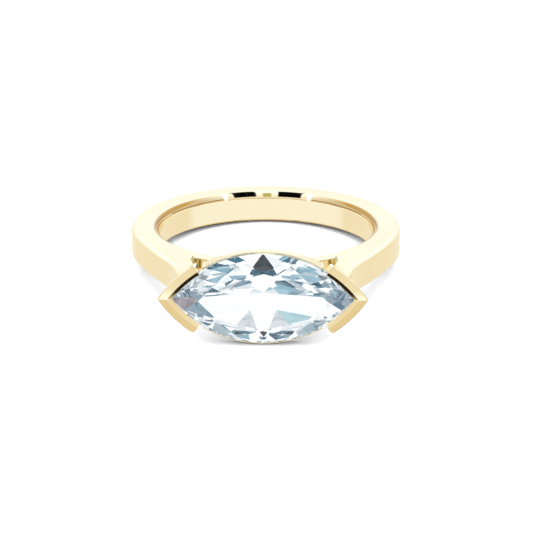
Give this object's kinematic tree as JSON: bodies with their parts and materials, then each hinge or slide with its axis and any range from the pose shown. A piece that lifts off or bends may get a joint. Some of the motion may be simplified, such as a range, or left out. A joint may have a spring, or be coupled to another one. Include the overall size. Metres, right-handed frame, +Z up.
{
  "type": "half bezel engagement ring",
  "caption": "Gold finger ring with a marquise stone set across it, held by V-shaped half bezels at its tips and gallery rails along its sides, on cathedral shoulders",
  "frame": {"origin": "on the surface under the middle of the ring's box, as the ring lies on its side", "axes": "+X along the stone from tip to tip, +Y from the stone to the back of the shank, +Z up"},
  "size_m": [0.0208, 0.0262, 0.0074],
  "materials": {
    "yellow_gold": "polished pale yellow gold, with fine polishing lines",
    "clear_stone": "cut and polished colourless stone, high refraction"
  },
  "bodies": {
    "root": {"gold_mounting": "yellow_gold", "marquise_stone": "clear_stone"}
  },
  "joints": []
}
